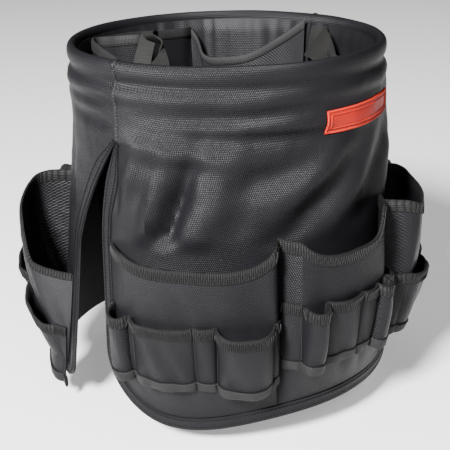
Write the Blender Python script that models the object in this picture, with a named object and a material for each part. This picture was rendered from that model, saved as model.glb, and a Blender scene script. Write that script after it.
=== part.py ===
"""Fabric tool organizer that hangs over the rim of a five-gallon bucket.

The collar folds over the bucket's rim. Outside it hangs a front and a rear skirt flap with deep
bellows pockets, and open sleeves sewn across them. Inside it hangs a liner with five pockets.
The origin is the middle of the circle on which the bucket's rim bears, with +Z up. The front
flap's middle faces -Y, and the two slits for the bucket's handle are at -X and +X.
Angles are in degrees round the bucket, 0 at -Y and 90 at +X.
"""

import math

import bmesh
import bpy

# Driving sizes, in metres.
CLOTH = 0.0014            # woven polyester, as one solid layer
TAPE = 0.0012             # binding tape, folded over an edge
GAP = 0.0004              # between layers that lie on each other
TAPE_WIDTH = 0.010

RIM_OUTSIDE = 0.1600      # the fold over the bucket's rim
RIM_INSIDE = 0.1455
RIM_CREST = 0.0044
SEAT_INSIDE = 0.1472      # the flat ring that bears on the bucket's rim
SEAT_OUTSIDE = 0.1570
SEAT_STEP = 0.0006        # how far it stands below the rest of the fold
RIM_STEPS = 8
RIM_SEGMENTS = 48

COLLAR_RADIUS = 0.1576    # inner face of the collar's outer cloth
LINER_RADIUS = 0.1452     # inner face of the liner at the rim; it narrows like the bucket
LINER_TAPER = 0.053
LINER_BOTTOM = -0.2150

SLIT_TOP = -0.0750        # where the two flaps part, and the height of their fold axis
HEM = -0.3350
FLAP_RADIUS = 0.1600
FLAP_LAP = 0.0320         # the flap's top edge is this much lower at its middle than at its sides
COLLAR_UNDERLAP = 0.0060
COLLAR_HALF = 89.75       # degrees from a collar's middle to its side seam
SEAM_HALF = 1.3           # degrees
SEAM_END = 0.0040         # from a side seam's lower end to the top of the slit
EDGE_INSET = 0.0006       # from a flap's edge to its binding
EDGE_TAPE_END = 0.0120    # from the top of the slit to the top of the edge binding
CORNER_WIDTH = 0.0750     # of a flap's rounded lower corners
CORNER_HEIGHT = 0.0550
HEM_SAG_MIDDLE = -68.0    # degrees; the front hem hangs lower here
HEM_SAG_WIDTH = 26.0

POCKET_TOP = -0.1680
POCKET_MARGIN = 0.0030    # from the middle of a divider to a pocket's side
POCKET_BORDER = 0.0145    # from the flap's edge to the pockets
POCKET_FILL = 2.2         # how fast a pocket fills out from its bottom to its mouth
POCKET_POWER = 3.2        # how square a pocket's mouth is
POCKET_STEEPNESS = 0.6    # how steep its sides are
SLEEVE_TOP = -0.2330
SLEEVE_BOTTOM = -0.3000
SLEEVE_DEPTH = 0.0150     # how far a sleeve bows off the pocket at its mouth
SLEEVE_SLANT = 0.0070     # how much further out its mouth is than its lower end
SLEEVE_POWER = 2.6        # how square a sleeve's mouth is
SLEEVE_STRIP_END = 0.03   # share of a column by which its strip runs past the end sleeves

INNER_TOP = -0.0170
INNER_BOTTOM = -0.1900
INNER_DEPTH = 0.0210
INNER_POWER = 2.6         # how square an inner pocket's mouth is
INNER_MARGIN = 1.6        # degrees from the middle of a divider to a pocket's side
INNER_STRAP_MARGIN = 6.5  # the same beside a strap

INNER_DIVIDERS = (90.0, 150.0, 210.0, 270.0, 360.0, 450.0)
STRAP_ANGLES = (90.0, 270.0, 450.0)

STRAP_WIDTH = 0.0200
STRAP_CLOTH = 0.0018
STRAP_TWIST = 42.0        # degrees, at the free end
STRAP_HINGE = (0.1425, -0.0190)     # radius and height of the end that is sewn to the liner
STRAP_STEPS = ((0.0, 0.0), (0.0050, 0.0030), (0.0120, 0.0040), (0.0190, 0.0005),
               (0.0245, -0.0090), (0.0275, -0.0230), (0.0285, -0.0400), (0.0280, -0.0570))
STRAP_STRAIGHT = 2        # how many of those steps come before the twist
LABEL_MIDDLE = 4.5        # degrees
LABEL_HALF = 20.5
LABEL_TOP = -0.0420
LABEL_BOTTOM = -0.0640
LABEL_CLOTH = 0.0009


class Flap:
    """One skirt flap: where it is, how wide it is at each height, and how it flares."""

    def __init__(self, name, middle, edge_shift, shift_length, flare, flare_power, hem_sag):
        self.name = name
        self.middle = middle
        self.edge_shift = edge_shift
        self.shift_length = shift_length
        self.flare = flare
        self.flare_power = flare_power
        self.hem_sag = hem_sag
        self.corner_width = CORNER_WIDTH
        self.corner_height = CORNER_HEIGHT

    def half_width(self, z):
        """Half the flap's width at a height, as a length along the FLAP_RADIUS circle."""
        left = 1 - min(1.0, max(0.0, (SLIT_TOP - z) / self.shift_length))
        return arc_length(89.4 + self.edge_shift * (1 - left * left))

    def radius(self, z):
        """Radius of the flap's inner face."""
        drop = min(1.0, max(0.0, (SLIT_TOP - z) / (SLIT_TOP - HEM)))
        return FLAP_RADIUS + self.flare * drop ** self.flare_power

    def top(self, s):
        """Height of the flap's top edge, which laps over the collar."""
        return SLIT_TOP - FLAP_LAP * max(0.0, math.cos(s / FLAP_RADIUS))

    def hem(self, s, inset=0.0):
        """Height of the rounded lower edge, or of a line that far inside it."""
        half = self.half_width(HEM)
        beyond = max(0.0, abs(s) - (half - self.corner_width))
        share = min(1.0, beyond / (self.corner_width - inset))
        dip = hem_dip(self, s)
        rise = self.corner_height - (self.corner_height - inset) * math.sqrt(1 - share * share)
        return HEM + dip + rise

    def place(self, s, z, stand_off):
        """The point at s along the flap and height z, that far outside its inner face."""
        return polar(self.middle + math.degrees(s / FLAP_RADIUS), self.radius(z) + stand_off, z)


def smooth(x):
    x = min(1.0, max(0.0, x))
    return x * x * (3 - 2 * x)


def mix(a, b, share):
    return a + (b - a) * share


def arc_length(degrees):
    return math.radians(degrees) * FLAP_RADIUS


def liner_radius(z):
    return LINER_RADIUS + LINER_TAPER * z


def polar(angle, radius, z):
    turn = math.radians(angle)
    return (radius * math.sin(turn), -radius * math.cos(turn), z)


def hem_dip(flap, s):
    """The front hem hangs a little lower on its left half."""
    away = (math.degrees(s / FLAP_RADIUS) - HEM_SAG_MIDDLE) / HEM_SAG_WIDTH
    return -flap.hem_sag * math.exp(-away ** 2)


def material(name, colour, roughness):
    made = bpy.data.materials.new(name)
    made.use_nodes = True
    shader = made.node_tree.nodes["Principled BSDF"]
    shader.inputs["Base Color"].default_value = (*colour, 1.0)
    shader.inputs["Roughness"].default_value = roughness
    shader.inputs["Metallic"].default_value = 0.0
    return made


def add_object(name, bm, finish, parent=None):
    mesh = bpy.data.meshes.new(name)
    bm.to_mesh(mesh)
    bm.free()
    mesh.materials.append(finish)
    made = bpy.data.objects.new(name, mesh)
    bpy.context.scene.collection.objects.link(made)
    if parent is not None:
        made.parent = parent
        made.matrix_parent_inverse = parent.matrix_world.inverted()
    return made


def add_pivot(name, place):
    pivot = bpy.data.objects.new(name, None)
    pivot.location = place
    bpy.context.scene.collection.objects.link(pivot)
    bpy.context.view_layer.update()
    return pivot


def stops_between(low, high, count):
    return [mix(low, high, i / count) for i in range(count + 1)]


def cloth(name, stops, rows, place, thickness, finish, parent=None, inward=False, under=0.0):
    """A closed sheet: a grid bent to place(u, v), then thickened away from its face.

    u runs along the stops and v from 0 at the lower edge to 1 at the upper edge. The sheet
    starts that far out from place, where other layers lie under it.
    """
    columns = len(stops) - 1
    bm = bmesh.new()
    bmesh.ops.create_grid(bm, x_segments=columns, y_segments=rows, size=0.5)
    for vert in bm.verts:
        column = round((vert.co.x + 0.5) * columns)
        vert.co = place(stops[column], vert.co.y + 0.5)
    made = add_object(name, bm, finish, parent)
    solid = made.modifiers.new("Thickness", "SOLIDIFY")
    solid.thickness = thickness
    reach = 1.0 + 2.0 * under / thickness
    solid.offset = -reach if inward else reach
    solid.use_even_offset = True
    solid.use_quality_normals = True
    return made


def corner_stops(half, corner, count_flat, count_corner):
    """Places along the hem from -half to half, closer together on the rounded corners."""
    flat = half - corner
    turns = [math.sin(math.pi / 2 * i / count_corner) for i in range(1, count_corner + 1)]
    right = [flat + corner * turn for turn in turns]
    return [-x for x in reversed(right)] + stops_between(-flat, flat, count_flat) + right


def bulge(u, power=POCKET_POWER, steepness=POCKET_STEEPNESS):
    """A pocket mouth seen from above: steep sides and a broad front. u runs from 0 to 1."""
    return max(0.0, 1.0 - abs(2 * u - 1) ** power) ** steepness


SLEEVE_STOPS = [0.0, 0.06, 0.2, 0.4, 0.6, 0.8, 0.94, 1.0]
BULGE_STOPS = [0.0, 0.012, 0.05, 0.12, 0.24, 0.38, 0.5, 0.62, 0.76, 0.88, 0.95, 0.988, 1.0]


def build_rim(finish):
    """The fold over the bucket's rim: a roll with a flat underside, turned round the bucket."""
    middle = (RIM_OUTSIDE + RIM_INSIDE) / 2
    half = (RIM_OUTSIDE - RIM_INSIDE) / 2
    bm = bmesh.new()
    loop = []
    for i in range(RIM_STEPS + 1):
        turn = math.pi * i / RIM_STEPS
        loop.append(bm.verts.new((middle + half * math.cos(turn), 0.0, RIM_CREST * math.sin(turn))))
    for radius, z in ((SEAT_INSIDE, 0.0), (SEAT_INSIDE, -SEAT_STEP),
                      (SEAT_OUTSIDE, -SEAT_STEP), (SEAT_OUTSIDE, 0.0)):
        loop.append(bm.verts.new((radius, 0.0, z)))
    bmesh.ops.translate(bm, verts=loop, vec=(0.0, 0.0, SEAT_STEP))
    edges = [bm.edges.new(pair) for pair in zip(loop, loop[1:] + loop[:1])]
    bmesh.ops.spin(bm, geom=edges, axis=(0, 0, 1), cent=(0, 0, 0), angle=2 * math.pi,
                   steps=RIM_SEGMENTS, use_merge=True)
    bmesh.ops.recalc_face_normals(bm, faces=bm.faces[:])
    return add_object("rim_fold", bm, finish)


def build_collar(flap, finish, liner_finish):
    """The outer cloth above one flap, and the half of the liner that faces it."""
    side = flap.name

    def band(s, v):
        angle = flap.middle + math.degrees(s / FLAP_RADIUS)
        low = flap.top(s) - COLLAR_UNDERLAP
        return polar(angle, COLLAR_RADIUS, mix(low, -GAP, v))

    def liner(angle, v):
        z = mix(LINER_BOTTOM, -GAP, v)
        return polar(angle, liner_radius(z), z)

    half = arc_length(COLLAR_HALF)
    cloth(f"{side}_collar", stops_between(-half, half, 24), 2, band, CLOTH, finish)
    angles = stops_between(flap.middle - COLLAR_HALF, flap.middle + COLLAR_HALF, 24)
    cloth(f"{side}_liner", angles, 2, liner, CLOTH, liner_finish)


def build_seams(finish):
    """The felled seams that join front and rear above the slits."""
    for side, angle in (("left", -90.0), ("right", 90.0)):
        def seam(offset, v):
            radius = COLLAR_RADIUS + CLOTH + GAP
            return polar(angle + offset, radius, mix(SLIT_TOP + SEAM_END, -GAP, v))

        across = stops_between(-SEAM_HALF, SEAM_HALF, 2)
        cloth(f"{side}_side_seam", across, 3, seam, TAPE, finish)


def build_label(finish):
    def label(angle, v):
        return polar(angle, COLLAR_RADIUS + CLOTH + GAP, mix(LABEL_BOTTOM, LABEL_TOP, v))

    angles = stops_between(LABEL_MIDDLE - LABEL_HALF, LABEL_MIDDLE + LABEL_HALF, 8)
    cloth("woven_label", angles, 1, label, LABEL_CLOTH, finish)


def build_flap(flap, finish, tape_finish, pivot):
    half = flap.half_width(HEM)
    corner = flap.corner_width

    def sheet(s, v):
        z = mix(flap.hem(s), flap.top(s), v)
        squeeze = flap.half_width(z) / half
        return flap.place(s * squeeze, z, 0.0)

    cloth(f"{flap.name}_flap", corner_stops(half, corner, 16, 6), 5, sheet, CLOTH, finish, pivot)

    line = outline(flap)

    def tape(place, v):
        """The edge binding, from the outline inwards."""
        index = round(place)
        s, z = line[index]
        before, after = line[max(0, index - 1)], line[min(len(line) - 1, index + 1)]
        ds, dz = after[0] - before[0], after[1] - before[1]
        size = math.hypot(ds, dz)
        inward = (-dz / size, ds / size)
        inset = mix(EDGE_INSET, TAPE_WIDTH, v)
        point = (s + inward[0] * inset, z + inward[1] * inset)
        return flap.place(*point, CLOTH + GAP)

    cloth(f"{flap.name}_edge_binding", list(range(len(line))), 1, tape, TAPE, tape_finish, pivot)


def outline(flap):
    """The flap's edge as (s, z): down the left side, round the hem and up the right side."""
    half = flap.half_width(HEM)
    stops = corner_stops(half, flap.corner_width, 16, 6)
    hem = [(s * flap.half_width(flap.hem(s)) / half, flap.hem(s)) for s in stops]
    low = hem[-1][1]
    heights = stops_between(low, SLIT_TOP - EDGE_TAPE_END, 7)[1:]
    right = [(flap.half_width(z), z) for z in heights]
    left = [(-s, z) for s, z in reversed(right)]
    return left + hem + right


class Column:
    """A stretch of a flap between two dividers, with a bellows pocket and a row of sleeves.

    left and right are the dividers' angles from the flap's middle, or None at the flap's edge.
    depth is how far the pocket's mouth stands off the flap, and sleeves are the stretches of the
    column's width, each from 0 to 1, that bow out between lines of stitching.
    """

    def __init__(self, flap, left, right, depth, sleeves):
        self.flap = flap
        self.left = left
        self.right = right
        self.depth = depth
        self.sleeves = sleeves

    def side(self, z, right):
        """Where the pocket's left or right side is, at a height."""
        sign = 1 if right else -1
        divider = self.right if right else self.left
        if divider is None:
            return sign * (self.flap.half_width(z) - POCKET_BORDER)
        return arc_length(divider) - sign * POCKET_MARGIN

    def s(self, u, z):
        return mix(self.side(z, False), self.side(z, True), u)

    def bottom(self, u):
        return self.flap.hem(self.s(u, HEM + POCKET_BORDER), POCKET_BORDER)

    def fullness(self, u, z):
        """The pocket's depth at a height, as a share of the depth at its mouth."""
        low = self.bottom(u)
        rise = max(0.0, min(1.0, (z - low) / (POCKET_TOP - low)))
        return 1 - (1 - rise) ** POCKET_FILL

    def stand_off(self, u, z):
        """How far the pocket's inner face stands off the flap's outer face."""
        return GAP + self.depth * bulge(u) * self.fullness(u, z)

    def sleeve_rise(self, u, z):
        """How far the sleeve strip bows off the pocket, between its lines of stitching."""
        up = (z - SLEEVE_BOTTOM) / (SLEEVE_TOP - SLEEVE_BOTTOM)
        slant = self.fullness(0.5, SLEEVE_TOP) - self.fullness(0.5, SLEEVE_BOTTOM)
        depth_below = SLEEVE_DEPTH + self.depth * slant - SLEEVE_SLANT
        for low, high in self.sleeves:
            if low < u < high:
                share = (u - low) / (high - low)
                return mix(depth_below, SLEEVE_DEPTH, up) * bulge(share, SLEEVE_POWER, 1.0)
        return 0.0

    def sleeve_stops(self):
        found = [self.sleeves[0][0] - SLEEVE_STRIP_END]
        for low, high in self.sleeves:
            found += [mix(low, high, share) for share in SLEEVE_STOPS]
        return found + [self.sleeves[-1][1] + SLEEVE_STRIP_END]


def build_column(column, number, finish, tape_finish, pivot):
    flap = column.flap
    name = f"{flap.name}_pocket_{number}"
    on_flap = CLOTH + GAP
    on_pocket = CLOTH + 2 * GAP
    on_sleeve = on_pocket + CLOTH + 2 * GAP

    def pocket(u, v):
        z = mix(column.bottom(u), POCKET_TOP, v)
        return flap.place(column.s(u, z), z, on_flap + column.stand_off(u, z))

    def pocket_tape(u, v):
        z = mix(POCKET_TOP - TAPE_WIDTH, POCKET_TOP, v)
        return flap.place(column.s(u, z), z, on_flap + column.stand_off(u, z))

    def strip(low, high):
        def on_strip(u, v):
            z = mix(low, high, v)
            stand = on_flap + column.stand_off(u, z) + column.sleeve_rise(u, z)
            return flap.place(column.s(u, z), z, stand)

        return on_strip

    cloth(name, BULGE_STOPS, 4, pocket, CLOTH, finish, pivot)
    cloth(f"{name}_binding", BULGE_STOPS[1:-1], 1, pocket_tape, TAPE, tape_finish, pivot,
          under=CLOTH + 2 * GAP)
    stops = column.sleeve_stops()
    base = f"{flap.name}_sleeves_{number}"
    cloth(base, stops, 2, strip(SLEEVE_BOTTOM, SLEEVE_TOP), CLOTH, finish, pivot,
          under=on_pocket)
    top_tape = strip(SLEEVE_TOP - TAPE_WIDTH, SLEEVE_TOP)
    cloth(f"{base}_top_binding", stops, 1, top_tape, TAPE, tape_finish, pivot, under=on_sleeve)
    low_tape = strip(SLEEVE_BOTTOM, SLEEVE_BOTTOM + TAPE_WIDTH)
    cloth(f"{base}_bottom_binding", stops, 1, low_tape, TAPE, tape_finish, pivot,
          under=on_sleeve)


def build_inner_pockets(finish, tape_finish):
    """Three pockets on the rear half of the liner and two wider ones on the front half."""
    for number, (start, end) in enumerate(zip(INNER_DIVIDERS, INNER_DIVIDERS[1:]), 1):
        low_angle = start + (INNER_STRAP_MARGIN if start in STRAP_ANGLES else INNER_MARGIN)
        high_angle = end - (INNER_STRAP_MARGIN if end in STRAP_ANGLES else INNER_MARGIN)

        def on_pocket(low):
            def place(u, v):
                z = mix(low, INNER_TOP, v)
                rise = (z - INNER_BOTTOM) / (INNER_TOP - INNER_BOTTOM)
                depth = INNER_DEPTH * bulge(u, INNER_POWER) * (1 - (1 - rise) ** 2)
                return polar(mix(low_angle, high_angle, u), liner_radius(z) - GAP - depth, z)

            return place

        name = f"inner_pocket_{number}"
        cloth(name, BULGE_STOPS, 4, on_pocket(INNER_BOTTOM), CLOTH, finish, inward=True)
        cloth(f"{name}_binding", BULGE_STOPS[1:-1], 1, on_pocket(INNER_TOP - TAPE_WIDTH), TAPE,
              tape_finish, inward=True, under=CLOTH + 2 * GAP)


def build_straps(finish):
    """Webbing straps that hang inside, each from an end sewn to the liner close under the rim."""
    hinge_radius, hinge_height = STRAP_HINGE
    last = len(STRAP_STEPS) - 1
    for name, angle in (("left", -90.0), ("right", 90.0)):
        turn = math.radians(angle)
        outward = (math.sin(turn), -math.cos(turn))
        along = (math.cos(turn), math.sin(turn))

        def strap(place, v):
            index = round(place)
            inward, rise = STRAP_STEPS[index]
            twist = math.radians(STRAP_TWIST) * smooth((index - STRAP_STRAIGHT) / (last - STRAP_STRAIGHT))
            across = (v - 0.5) * STRAP_WIDTH
            side, radius = across * math.cos(twist), hinge_radius - inward - across * math.sin(twist)
            x = outward[0] * radius + along[0] * side
            y = outward[1] * radius + along[1] * side
            return (x, y, hinge_height + rise)

        pivot = add_pivot(f"{name}_strap_hinge", polar(angle, *STRAP_HINGE))
        cloth(f"{name}_strap", list(range(len(STRAP_STEPS))), 2, strap, STRAP_CLOTH, finish, pivot)


def layout():
    """The two flaps, each with its columns from left to right as seen from outside."""
    front = Flap("front", 0.0, 12.0, 0.110, 0.006, 1.5, 0.020)
    rear = Flap("rear", 180.0, -19.0, 0.115, 0.024, 1.3, 0.0)
    halves = ((0.07, 0.46), (0.54, 0.93))
    return (
        (front, (
            Column(front, None, -35.0, 0.026, ((0.05, 0.15), (0.20, 0.58), (0.64, 0.94))),
            Column(front, -35.0, 15.5, 0.027, ((0.06, 0.28), (0.34, 0.60), (0.66, 0.94))),
            Column(front, 15.5, 58.0, 0.036, halves),
            Column(front, 58.0, None, 0.034, halves),
        )),
        (rear, (
            Column(rear, None, -23.5, 0.036, halves),
            Column(rear, -23.5, 23.5, 0.034, ((0.12, 0.88),)),
            Column(rear, 23.5, None, 0.036, halves),
        )),
    )


def main():
    for old in list(bpy.data.objects):
        bpy.data.objects.remove(old)
    body = material("Polyester weave", (0.055, 0.055, 0.062), 0.85)
    lining = material("Lining weave", (0.06, 0.06, 0.066), 0.85)
    tape = material("Binding tape", (0.085, 0.085, 0.085), 0.8)
    webbing = material("Webbing", (0.13, 0.13, 0.125), 0.8)
    red = material("Red label", (0.78, 0.12, 0.07), 0.6)

    build_rim(body)
    build_seams(tape)
    build_label(red)
    for flap, columns in layout():
        pivot = add_pivot(f"{flap.name}_flap_fold", (0.0, 0.0, SLIT_TOP))
        build_collar(flap, body, lining)
        build_flap(flap, body, tape, pivot)
        for number, column in enumerate(columns, 1):
            build_column(column, number, body, tape, pivot)
    build_inner_pockets(lining, tape)
    build_straps(webbing)


main()
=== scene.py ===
"""Looks of a cloth tool organizer that hangs over a bucket's rim, laid out as an add-on."""

import math

import bmesh
import bpy
from bpy.props import FloatProperty, FloatVectorProperty, PointerProperty
from mathutils import Matrix, Vector, noise


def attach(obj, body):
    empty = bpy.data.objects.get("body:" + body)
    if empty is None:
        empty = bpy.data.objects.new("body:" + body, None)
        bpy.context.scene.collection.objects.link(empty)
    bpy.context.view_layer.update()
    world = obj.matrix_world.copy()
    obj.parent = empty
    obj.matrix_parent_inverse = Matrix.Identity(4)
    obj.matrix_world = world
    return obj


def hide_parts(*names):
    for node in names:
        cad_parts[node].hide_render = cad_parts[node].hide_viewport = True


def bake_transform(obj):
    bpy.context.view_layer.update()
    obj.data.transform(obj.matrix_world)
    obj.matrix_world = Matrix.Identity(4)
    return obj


bl_info = {
    "name": "Bucket tool organizer",
    "version": (1, 0, 0),
    "blender": (4, 5, 0),
    "location": "3D View > Sidebar > Organizer",
    "description": "Builds the cloth, pockets, bindings and straps of a bucket tool organizer",
    "category": "Object",
}

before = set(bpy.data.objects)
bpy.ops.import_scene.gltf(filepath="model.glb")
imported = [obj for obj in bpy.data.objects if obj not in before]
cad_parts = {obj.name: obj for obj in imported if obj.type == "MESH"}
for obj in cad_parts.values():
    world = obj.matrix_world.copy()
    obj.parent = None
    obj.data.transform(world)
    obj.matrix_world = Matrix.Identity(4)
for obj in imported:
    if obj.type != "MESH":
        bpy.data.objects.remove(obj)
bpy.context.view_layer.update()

# Sizes in metres. Heights are from the bucket's rim, and angles are in degrees round the bucket,
# from -Y towards +X.
CLOTH = 0.0014
GAP = 0.0004                        # between cloths that lie on each other
TAPE_WIDTH = 0.010
SLIT_TOP = -0.0700
HEM = -0.3350
FLAP_RADIUS = 0.1600
COLLAR_RADIUS = 0.1596              # outer face of the cloth above the slits
EDGE_ANGLE = 89.6                   # from a flap's middle to its edge, at the top of a slit
SEAM_ANGLE = 89.8                   # from the front's middle to a side seam
POCKET_BORDER = 0.0145              # bare cloth between the pockets and a flap's edge
POCKET_TOP = -0.1680
SLEEVE_TOP = -0.2330
SLEEVE_BOTTOM = -0.3000
ROLL_RADIUS = 0.1547                # middle of the roll over the rim
ROLL_MIDDLE = -0.0025
ROLL_OVER = 0.073                   # cloth over the roll, as a share of the height below it
ROLL_TURN = math.radians(205.0)
FOLD_GAIN = 1.35                    # the cloth's folds stand this much taller than their table

# Heights of the cloths laid flat.
OUTER_CLOTH = 0.357
OUTER_DROP = 0.333                  # the part of it that hangs below the roll
POCKET_CLOTH = 0.165
SLEEVE_CLOTH = 0.070
LINING_CLOTH = 0.212
INNER_CLOTH = 0.180

# Threads: their radius, and how far they stand off the middle of a taped edge.
STRAIGHT_THREAD = 0.00028
ZIGZAG_THREAD = 0.00034
MOUTH_THREAD = 0.00032
EDGE_THREAD = 0.00036
THREAD_STAND = 0.0019


def clamp(x):
    return min(1.0, max(0.0, x))


def smooth(x):
    """Eases from 0 to 1 with no corner at either end."""
    x = clamp(x)
    return x * x * (3 - 2 * x)


def mix(a, b, share):
    return a + (b - a) * share


def arc_length(degrees):
    """Length round the skirt of an angle at the bucket's axis."""
    return math.radians(degrees) * FLAP_RADIUS


def polar(angle, radius, z):
    """The point at that angle round the bucket, distance from its axis and height."""
    turn = math.radians(angle)
    return Vector((radius * math.sin(turn), -radius * math.cos(turn), z))


def waviness(x, y, size, seed):
    """Smooth random value from -1 to 1 that changes over about that size."""
    return noise.noise(Vector((x / size, y / size, seed)))


def ring(z, height, width, depth):
    """A ridge that runs level round the cloth, or a groove where depth is below 0."""
    return depth * math.exp(-((z - height) / width) ** 2)


def crease(s, z, at, lean, length, width, height):
    """A soft ridge, or a hollow where height is below 0. lean is its slope from level."""
    ds, dz = s - at[0], z - at[1]
    turn = math.radians(lean)
    along = ds * math.cos(turn) + dz * math.sin(turn)
    across = dz * math.cos(turn) - ds * math.sin(turn)
    return height * math.exp(-(along / length) ** 2 - (across / width) ** 2)


# Soft folds of the front cloth: place (round the flap, height), lean, length, width, height.
FRONT_FOLDS = (
    ((-0.238, -0.108), 72.0, 0.034, 0.008, 0.0042),
    ((-0.252, -0.122), 86.0, 0.022, 0.007, -0.0030),
    ((-0.214, -0.133), 74.0, 0.044, 0.0095, 0.0066),
    ((-0.190, -0.128), 70.0, 0.052, 0.0095, -0.0105),
    ((-0.158, -0.126), 66.0, 0.052, 0.018, 0.0060),
    ((-0.190, -0.074), -6.0, 0.055, 0.010, 0.0042),
    ((-0.120, -0.040), 2.0, 0.075, 0.0060, -0.0034),
    ((-0.085, -0.062), -3.0, 0.065, 0.0065, -0.0038),
    ((-0.120, -0.051), -1.0, 0.070, 0.0060, 0.0016),
    ((-0.105, -0.098), 14.0, 0.045, 0.013, -0.0050),
    ((-0.060, -0.100), 34.0, 0.050, 0.014, 0.0052),
    ((-0.058, -0.132), 38.0, 0.055, 0.013, -0.0062),
    ((-0.010, -0.118), 46.0, 0.045, 0.014, 0.0036),
    ((0.028, -0.120), 50.0, 0.050, 0.014, -0.0036),
    ((0.070, -0.110), 62.0, 0.050, 0.015, 0.0036),
    ((0.130, -0.115), 80.0, 0.050, 0.016, -0.0036),
    ((0.190, -0.120), 100.0, 0.050, 0.014, 0.0036),
    ((0.225, -0.100), 96.0, 0.040, 0.010, -0.0030),
)
REAR_FOLDS = (
    ((0.225, -0.034), 2.0, 0.050, 0.0055, -0.0030),
    ((0.225, -0.055), -4.0, 0.050, 0.0060, -0.0030),
    ((0.150, -0.120), 96.0, 0.060, 0.018, -0.0050),
    ((0.060, -0.115), 84.0, 0.055, 0.016, 0.0040),
    ((0.000, -0.110), 70.0, 0.050, 0.014, -0.0040),
    ((-0.070, -0.050), 3.0, 0.070, 0.0060, -0.0030),
    ((-0.080, -0.120), 104.0, 0.050, 0.016, 0.0040),
    ((-0.150, -0.110), 86.0, 0.050, 0.014, -0.0040),
    ((-0.205, -0.045), 0.0, 0.040, 0.0055, -0.0030),
)


class Flap:
    """One half of the skirt: its middle, its width at each height, how it flares and folds."""

    def __init__(self, name, middle, edge_shift, shift_length, ease, flare, flare_power, sag, corner,
                 folds):
        self.name = name
        self.ease = ease
        self.corner = corner
        self.middle = middle
        self.edge_shift = edge_shift
        self.shift_length = shift_length
        self.flare = flare
        self.flare_power = flare_power
        self.sag = sag
        self.folds = folds

    def half_width(self, z):
        """Length round the skirt from the flap's middle to its edge; the slit opens below its top."""
        if z > SLIT_TOP:
            return arc_length(mix(EDGE_ANGLE, 90.0, smooth((z - SLIT_TOP) / 0.004)))
        left = 1 - clamp((SLIT_TOP - z) / self.shift_length)
        return arc_length(EDGE_ANGLE + self.edge_shift * (1 - left ** self.ease))

    def radius(self, z):
        """Radius of the flap's inner face, which flares towards the hem."""
        drop = clamp((SLIT_TOP - z) / (SLIT_TOP - HEM))
        return FLAP_RADIUS + self.flare * drop ** self.flare_power

    def hem(self, s, inset=0.0):
        """Height of the hem, or of a line that far inside it, with its rounded corners and sag."""
        half = self.half_width(HEM)
        wide, high = self.corner
        beyond = max(0.0, abs(s) - (half - wide))
        share = min(1.0, beyond / (wide - inset))
        dip = -self.sag * math.exp(-((math.degrees(s / FLAP_RADIUS) + 68.0) / 26.0) ** 2)
        return HEM + dip + high - (high - inset) * math.sqrt(1 - share * share)

    def face(self, s, z):
        """Radius of the cloth's outer face, with the rings under the roll, folds and ripples.

        below is 1 where the skirt hangs free of the collar. calm keeps the cloth flat behind the
        pockets, edge keeps it flatter at its bound edge, and tight holds it to the roll.
        """
        below = smooth((-0.055 - z) / 0.060)
        radius = mix(COLLAR_RADIUS, self.radius(z) + CLOTH, below)
        groove = ring(z, -0.0145, 0.0050, -0.0032)
        swell = ring(z, -0.026, 0.007, 0.0014)
        second = ring(z, -0.034, 0.004, -0.0014) * (0.5 + 0.5 * waviness(s, self.middle, 0.09, 3.1))
        folds = sum(crease(s, z, *fold) for fold in self.folds)
        ripple = 0.0016 * waviness(s, z * 1.6, 0.045, 1.7 + self.middle)
        ripple += 0.0006 * waviness(s, z, 0.014, 5.3 + self.middle)
        calm = 1 - smooth((-0.150 - z) / 0.020)
        edge = smooth((self.half_width(z) - abs(s)) / 0.022)
        tight = smooth((-0.014 - z) / 0.012)
        loose = calm * tight * mix(0.3, 1.0, edge)
        return radius + groove + swell + second + (FOLD_GAIN * folds + ripple) * loose

    def place(self, s, z, radius):
        return polar(self.middle + math.degrees(s / FLAP_RADIUS), radius, z)

    def over_roll(self, s, turn):
        """A point of the cloth where it passes over the roll; turn is 0 outside."""
        swell = 1 + 0.06 * waviness(s, self.middle, 0.05, 4.4) * math.sin(min(turn, math.pi))
        out = (self.face(s, ROLL_MIDDLE) - ROLL_RADIUS) * math.cos(turn)
        return self.place(s, ROLL_MIDDLE + 0.0075 * math.sin(turn) * swell, ROLL_RADIUS + out)


FRONT = Flap("front", 0.0, 9.0, 0.110, 2.0, 0.006, 1.5, 0.016, (0.075, 0.055), FRONT_FOLDS)
REAR = Flap("rear", 180.0, -21.0, 0.115, 1.3, 0.026, 1.3, 0.0, (0.019, 0.0160), REAR_FOLDS)


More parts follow.
